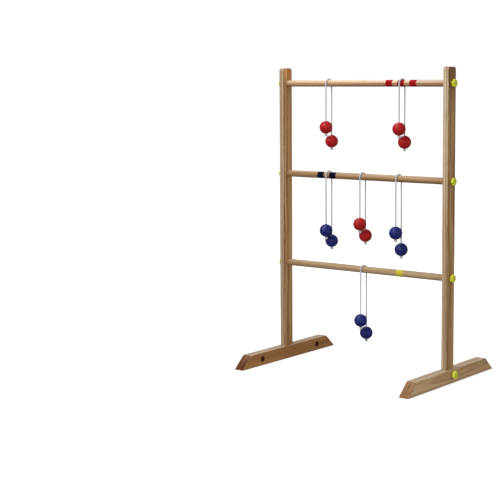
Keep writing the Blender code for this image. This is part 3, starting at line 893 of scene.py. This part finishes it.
def knob_mesh(stud_length):
    """A lobed knob that seats on z = 0, and its threaded stud running down from inside its hub."""
    bm = bmesh.new()
    sides = KNOB_LOBES * KNOB_SIDES_PER_LOBE
    profile = knob_profile()
    rings = []
    for radius, height, lobed, _, _ in profile:
        depth = lobed * KNOB_LOBE_DEPTH / 2

        def shape(angle, radius=radius, depth=depth):
            return radius - depth * (1 - math.cos(KNOB_LOBES * angle))

        rings.append(circle(radius, height, sides, shape))
    skin(bm, rings, slot=0)

    stud = thread_rings(STUD_RADIUS, STUD_THREAD, STUD_TOP, -stud_length + STUD_RADIUS / 3)
    for share, up in STUD_TIP:
        stud.append(circle(STUD_RADIUS * share, -stud_length + STUD_RADIUS * up, THREAD_SIDES))
    skin(bm, stud, slot=1)
    mesh = smoothed(mesh_from(bm, "knob"), 42)
    on_stud = [0.0] * (THREAD_SIDES * len(stud))
    store_number(mesh, "recess", [row[3] for row in profile for _ in range(sides)] + on_stud)
    store_number(mesh, "rim", [row[4] for row in profile for _ in range(sides)] + on_stud)
    return mesh


def make_knobs(plastic, steel, chance):
    angles = iter(KNOB_ANGLES)
    for side_name, side in SIDES:
        for where in (*RUNGS, "foot"):
            node = f"{side_name}_{where}_knob"
            seat = joint_place(f"{node}_turn")
            low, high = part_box(node)
            stud_length = side * seat.x - min(side * low.x, side * high.x)
            mesh = mark_local(knob_mesh(stud_length), chance)
            place = pointing_out(side, seat, next(angles))
            new_piece(f"{node}.fine", mesh, f"{node}_turning", [plastic, steel], node, place)


def insert_mesh():
    """A threaded insert from z = 0 down: a coarse thread, a plain bore, and a slot for a driver."""
    bm = bmesh.new()
    taper = INSERT_END_TAPER
    top, foot = (circle(INSERT_RADIUS - taper, height, INSERT_SIDES) for height in (0.0, -INSERT_LENGTH))
    outside = thread_rings(INSERT_RADIUS, INSERT_THREAD, -taper, -INSERT_LENGTH + taper, INSERT_SIDES)
    heights = (-INSERT_LENGTH, -INSERT_LENGTH / 2, 0.0)
    inside = [circle(INSERT_BORE_RADIUS, height, INSERT_SIDES) for height in heights]
    skin(bm, [top, *outside, foot, *inside], looped=True)
    slot = bmesh.new()
    add_box(
        slot,
        (-CUT_BEYOND, -INSERT_SLOT_HALF_WIDTH, -INSERT_SLOT_DEPTH),
        (CUT_BEYOND, INSERT_SLOT_HALF_WIDTH, CUT_BEYOND),
    )
    return smoothed(worked(mesh_from(bm, "insert"), 0.0, [mesh_from(slot, "driver_slot")]), 40)


def make_inserts(brass, chance):
    pattern = insert_mesh()
    for side_name, side in SIDES:
        for where in (*RUNGS, "foot"):
            node = f"{side_name}_{where}_insert"
            low, high, middle = node_box(node)
            outer_end = (high.x if side > 0 else low.x, middle.y, middle.z)
            mesh = mark_local(pattern.copy(), chance)
            place = pointing_out(side, outer_end, chance.uniform(0, 180))
            new_piece(f"{node}.fine", mesh, "frame", [brass], node, place)


def screw_mesh():
    """A pan-head screw with a hexagon socket. Its head stands on z = 0 and its shank runs down."""
    bm = bmesh.new()
    top, crown, ease = SCREW_HEAD_HEIGHT, SCREW_HEAD_CROWN, SCREW_EASE
    thread_top, thread_end = (-SCREW_LENGTH * share for share in SCREW_THREADED)
    head = [(0.0006, top), (SCREW_HEAD_RADIUS - crown, top - 0.0001)]
    head += arc(SCREW_HEAD_RADIUS - crown, top - crown, crown, 84, 0, 6)
    head += [(SCREW_HEAD_RADIUS, ease), (SCREW_HEAD_RADIUS - ease, 0.0), (SCREW_SHANK_RADIUS + ease, 0.0)]
    head += [(SCREW_SHANK_RADIUS, -ease), (SCREW_SHANK_RADIUS, thread_top)]
    rings = [circle(radius, height, SCREW_SIDES) for radius, height in head]
    rings += thread_rings(SCREW_SHANK_RADIUS, SCREW_THREAD, thread_top, thread_end, SCREW_SIDES)[1:]
    for share, along in SCREW_TIP:
        rings.append(circle(SCREW_SHANK_RADIUS * share, -SCREW_LENGTH * along, SCREW_SIDES))
    skin(bm, rings)
    socket = bmesh.new()
    add_cylinder(socket, SCREW_SOCKET_RADIUS, (0, 0, top - SCREW_SOCKET_DEPTH), (0, 0, 2 * top), 6)
    return smoothed(worked(mesh_from(bm, "screw"), 0.0, [mesh_from(socket, "socket")]), 40)


def make_screws(steel, chance):
    pattern = screw_mesh()
    for side_name, side in SIDES:
        for end_name in ENDS:
            node = f"{side_name}_foot_screw_{end_name}"
            low, high, middle = node_box(node)
            head_top = low.x if side > 0 else high.x
            seat = (head_top + side * SCREW_HEAD_HEIGHT, middle.y, middle.z)
            mesh = mark_local(pattern.copy(), chance)
            place = pointing_out(-side, seat, chance.uniform(0, 60))
            new_piece(f"{node}.fine", mesh, "frame", [steel], node, place)


# The bolas.


def geodesic_grid(steps):
    """Rows of points on each face of an icosahedron, steps to an edge, pushed out to a ball of radius 1."""
    seed = bmesh.new()
    bmesh.ops.create_icosphere(seed, subdivisions=1, radius=1.0)
    grids = []
    for face in seed.faces:
        a, b, c = (vert.co.copy() for vert in face.verts)
        grids.append(
            [
                [(a * (steps - i) + b * (i - j) + c * j).normalized() for j in range(i + 1)]
                for i in range(steps + 1)
            ]
        )
    seed.free()
    return grids


def ball_mesh(radius):
    """A ball with a bore along Z and shallow round dimples, laid out on an icosahedron. How deep each mesh
    point lies follows from how far it is from the middle of the nearest dimple."""
    bm = bmesh.new()
    every = BALL_STEPS // BALL_DIMPLE_STEPS
    for grid in geodesic_grid(BALL_STEPS):
        centres = [row[::every] for row in grid[::every]]
        rows = []
        for i, row in enumerate(grid):
            block = min(i // every, BALL_DIMPLE_STEPS - 1)
            near = [*centres[block], *centres[block + 1]]
            made = []
            for way in row:
                away = min((centre - way).length for centre in near)
                depth = max(0.0, 1 - (away / DIMPLE_REACH) ** 2)
                made.append(bm.verts.new(way * (radius - DIMPLE_DEPTH * depth)))
            rows.append(made)
        for upper, lower in zip(rows, rows[1:]):
            for j, vert in enumerate(upper):
                bm.faces.new((vert, lower[j], lower[j + 1]))
                if j + 1 < len(upper):
                    bm.faces.new((vert, lower[j + 1], upper[j + 1]))
    pole = Vector(DIMPLE_POLE).normalized()
    turn = Vector(Z_AXIS).rotation_difference(pole).to_matrix().to_4x4()
    bmesh.ops.transform(bm, matrix=turn, verts=bm.verts)
    bmesh.ops.remove_doubles(bm, verts=bm.verts, dist=0.00001)
    bore = bmesh.new()
    add_cylinder(bore, BALL_BORE_RADIUS, (0, 0, -2 * radius), (0, 0, 2 * radius), BALL_BORE_SIDES)
    mesh = smoothed(worked(mesh_from(bm, "ball"), 0.0, [mesh_from(bore, "ball_bore")]), 50)
    sunk = [(radius - vert.co.length) / DIMPLE_DEPTH for vert in mesh.vertices]
    store_number(mesh, "dimple", [min(1.0, max(0.0, value)) for value in sunk])
    return mesh


def smooth_route(points, spacing):
    """Points about spacing apart on a smooth curve through the given ones."""
    ends = [2 * points[0] - points[1], *points, 2 * points[-1] - points[-2]]
    route = []
    for before, start, end, after in zip(ends, ends[1:], ends[2:], ends[3:]):
        count = max(1, round((end - start).length / spacing))
        for step in range(count):
            t = step / count
            route.append(
                0.5 * (2 * start + (end - before) * t + (2 * before - 5 * start + 4 * end - after) * t**2
                       + (3 * start - before - 3 * end + after) * t**3)
            )
    return [*route, points[-1]]


def cord_route(pivot, front_end, back_end):
    """A bola's cord from under its front ball up over the rung and down to under its back one."""
    offsets = [*CORD_OVER_RUNG, *((-x, -y, z) for x, y, z in reversed(CORD_OVER_RUNG))]
    over = [pivot + Vector(offset) for offset in offsets]
    front_half = Vector((over[0].x, over[0].y, (pivot.z + front_end.z) / 2))
    back_half = Vector((over[-1].x, over[-1].y, (pivot.z + back_end.z) / 2))
    return smooth_route([front_end, front_half, *over, back_half, back_end], CORD_STEP)


def braided_tube(name, route, radius, sides):
    """A braided tube along a route. Crossing strands stand proud of the grooves between them."""
    normal = Vector(X_AXIS)
    rings = []
    strand = []
    groove = []
    along = 0.0
    for i, place in enumerate(route):
        ahead = route[min(i + 1, len(route) - 1)]
        behind = route[max(i - 1, 0)]
        along += (place - behind).length
        forward = (ahead - behind).normalized()
        normal = (normal - forward * normal.dot(forward)).normalized()
        sideways = forward.cross(normal)
        slip = BRAID_STRANDS * along / BRAID_LAY
        ring = []
        for k in range(sides):
            angle = math.tau * k / sides
            turns = BRAID_STRANDS * angle / math.tau
            ridge = abs(math.sin(math.pi * (turns + slip))) * abs(math.sin(math.pi * (turns - slip)))
            sunk = 1 - math.sqrt(ridge)
            out = normal * math.cos(angle) + sideways * math.sin(angle)
            ring.append(place + out * (radius - BRAID_DEPTH * sunk))
            strand.append((radius * math.cos(angle), radius * math.sin(angle), along))
            groove.append(sunk)
        rings.append(ring)
    bm = bmesh.new()
    skin(bm, rings)
    mesh = mesh_from(bm, name)
    store(mesh, "strand", strand)
    store_number(mesh, "groove", groove)
    return mesh


def knot_route():
    """An overhand knot pulled tight about z = 0. The cord comes down its middle and ends in a short tail."""
    wide = (KNOT_RADIUS - KNOT_STRAND_RADIUS) / 3
    tall = KNOT_HALF_HEIGHT - KNOT_STRAND_RADIUS
    points = [Vector((0.0004, 0.0004, KNOT_HALF_HEIGHT))]
    for step in range(KNOT_ROUTE_STEPS + 1):
        t = KNOT_OPENING + (math.tau - 2 * KNOT_OPENING) * step / KNOT_ROUTE_STEPS
        across = wide * (math.sin(t) + 2 * math.sin(2 * t))
        through = wide * (math.cos(t) - 2 * math.cos(2 * t))
        points.append(Vector((across, through, -tall * math.sin(3 * t))))
    points += [Vector((-0.0016, -0.0012, -tall)), Vector((-0.0030, -0.0016, -KNOT_HALF_HEIGHT + 0.0002))]
    return smooth_route(points, KNOT_STEP)


def make_bola(name, colour, ball_pattern, materials, chance):
    """Two balls of one colour on a cord that hangs over its rung, with a knot under each ball."""
    body = f"bola_{name}"
    pivot = joint_place(f"{body}_swing")
    under = []
    for end_name in ENDS:
        node = f"{body}_{end_name}_ball"
        low, high, middle = node_box(node)
        mesh = mark_local(ball_pattern.copy(), chance)
        place = Matrix.Translation(middle) @ Matrix.Rotation(chance.uniform(0, math.tau), 4, "Z")
        new_piece(f"{node}.fine", mesh, body, [materials[f"ball_{colour}"]], node, place)

        end = middle - Vector((0.0, 0.0, (high.x - low.x) / 2 + GAP))
        under.append(end)
        mesh = braided_tube("knot", knot_route(), KNOT_STRAND_RADIUS, KNOT_SIDES)
        place = Matrix.Translation(end - Vector((0.0, 0.0, KNOT_HALF_HEIGHT)))
        place = place @ Matrix.Rotation(chance.uniform(-0.6, 0.6), 4, "Z")
        knot_name = f"{body}_{end_name}_knot"
        # The knot takes the lighter copy of the cord's colours, as painted light.
        new_piece(knot_name, mesh, body, [materials["cord_knot_painted_light"]], place=place)

    route = cord_route(pivot, *under)
    mesh = braided_tube("cord", route, CORD_RADIUS, CORD_SIDES)
    cord = new_piece(f"{body}_cord.fine", mesh, body, [materials["cord_braided"]], f"{body}_cord")


# The studio.


def make_camera():
    """A camera at the angle from which the frame is best known: front right, a little above the top rung."""
    turn, tilt, roll = CAMERA_TURN, CAMERA_TILT, CAMERA_ROLL
    ahead = Vector((-math.sin(turn) * math.cos(tilt), math.cos(turn) * math.cos(tilt), -math.sin(tilt)))
    level = Vector((math.cos(turn), math.sin(turn), 0.0))
    upward = level.cross(ahead)
    right = level * math.cos(roll) + upward * math.sin(roll)
    up = upward * math.cos(roll) - level * math.sin(roll)
    camera = new_item("camera", bpy.data.cameras.new("camera"))
    axes = Matrix((right, up, -ahead)).transposed().to_4x4()
    camera.matrix_world = Matrix.Translation(CAMERA_PLACE) @ axes
    camera.data.lens = CAMERA_LENS
    camera.data.shift_y = CAMERA_SHIFT
    bpy.context.scene.camera = camera


def make_floor():
    bm = bmesh.new()
    bmesh.ops.create_grid(bm, x_segments=8, y_segments=8, size=FLOOR_SIZE / 2)
    bmesh.ops.translate(bm, vec=(0.0, 0.0, -FLOOR_DROP), verts=bm.verts)
    mesh = mesh_from(bm, "floor")
    mesh.materials.append(floor_material())
    floor = new_item("floor", mesh)
    floor.visible_diffuse = False
    floor.visible_glossy = False


def new_lamp(name, kind, strength, place, direction):
    """A lamp that stands at a place and shines along a direction."""
    lamp = bpy.data.lights.new(name, kind)
    lamp.energy = strength
    item = new_item(name, lamp)
    item.rotation_mode = "QUATERNION"
    item.rotation_quaternion = Vector(direction).to_track_quat("-Z", "Y")
    item.location = place
    return lamp


def make_lamps():
    for name, place, aim, width, power in SOFTBOXES:
        lamp = new_lamp(name, "AREA", power, place, Vector(aim) - Vector(place))
        lamp.shape = "SQUARE"
        lamp.size = width
    for name, direction, strength, width in FAR_LAMPS:
        lamp = new_lamp(name, "SUN", strength, FAR_LAMP_PLACE, direction)
        lamp.angle = math.radians(width)


def make_world():
    """Even studio light, dimmer from below and in reflections, in front of a white backdrop."""
    world = bpy.data.worlds.new("studio")
    world.use_nodes = True
    tree = world.node_tree
    tree.nodes.clear()
    new, link = tree.nodes.new, tree.links.new
    ray = new("ShaderNodeLightPath")
    out = new("ShaderNodeOutputWorld")
    shade = new("ShaderNodeMapRange")
    split = new("ShaderNodeSeparateXYZ")
    link(new("ShaderNodeTexCoord").outputs["Generated"], split.inputs[0])
    link(split.outputs["Z"], shade.inputs["Value"])
    for socket, value in AMBIENT.items():
        shade.inputs[socket].default_value = value

    lights = [new("ShaderNodeBackground") for _ in range(3)]
    ambient, reflected, backdrop = lights
    for light in lights:
        light.inputs["Color"].default_value = (1.0, 1.0, 1.0, 1.0)
    link(shade.outputs["Result"], ambient.inputs["Strength"])
    reflected.inputs["Strength"].default_value = REFLECTED_STRENGTH
    backdrop.inputs["Strength"].default_value = BACKDROP_STRENGTH

    shown = ambient
    for kind, light in (("Is Glossy Ray", reflected), ("Is Camera Ray", backdrop)):
        pick = new("ShaderNodeMixShader")
        link(ray.outputs[kind], pick.inputs[0])
        link(shown.outputs[0], pick.inputs[1])
        link(light.outputs[0], pick.inputs[2])
        shown = pick
    link(shown.outputs[0], out.inputs["Surface"])
    bpy.context.scene.world = world


def make_studio():
    make_camera()
    make_floor()
    make_world()
    make_lamps()
    bpy.context.scene.view_settings.view_transform = "Standard"


def half_size(node, axes):
    low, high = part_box(node)
    return tuple((high - low)[axis] / 2 for axis in axes)


def make_materials():
    foot_half = half_size("left_foot_outer_board", (1, 2, 0))
    foot_slope = FOOT_END_RUN / (2 * foot_half[1])
    upright_half = half_size("left_upright", (2, 1, 0))
    made = {"bored": counterbore_shade_material("counterbore_painted_shade"), "knob": knob_material("knob_moulded")}
    for node, wood in BOARD_WOODS.items():
        if node in UPPER_TONES_AND_SHADE:
            board = (UPRIGHT_RING_GAP, Z_AXIS, upright_half, 0.0, UPPER_TONES_AND_SHADE[node])
        else:
            board = (FOOT_RING_GAP, Y_AXIS, foot_half, foot_slope)
        made[node] = wood_material(f"{node}_oiled", wood, *board)
    for rung, wood in RUNG_WOODS.items():
        made[f"{rung}_rung"] = rung_material(f"{rung}_rung_varnished", *wood)
    for name, colours in PAINTS.items():
        made[name] = paint_material(f"paint_{name}", *colours)
    for name, finish in METALS.items():
        made[name] = metal_material(name, *finish)
    for name, colours in BALL_COLOURS.items():
        made[f"ball_{name}"] = ball_material(f"ball_{name}_moulded", *colours)
    for name, colours in CORD_COLOURS.items():
        made[name] = cord_material(name, *colours)
    return made


def main():
    chance = random.Random(SEED)
    make_studio()
    materials = make_materials()

    low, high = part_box("bola_top_left_front_ball")
    ball_pattern = ball_mesh((high.x - low.x) / 2)
    for name, colour in BOLAS:
        make_bola(name, colour, ball_pattern, materials, chance)

    for rung in RUNGS:
        make_rung(rung, materials[f"{rung}_rung"], materials[BANDS[rung][0]], chance)
    for side_name, side in SIDES:
        make_upright(side_name, side, materials[f"{side_name}_upright"], chance)
        for board in ("outer", "inner"):
            make_foot_board(side_name, side, board, materials, chance)
    make_knobs(materials["knob"], materials["steel_plated"], chance)
    make_inserts(materials["brass_plain"], chance)
    make_screws(materials["screw_bronzed"], chance)


main()
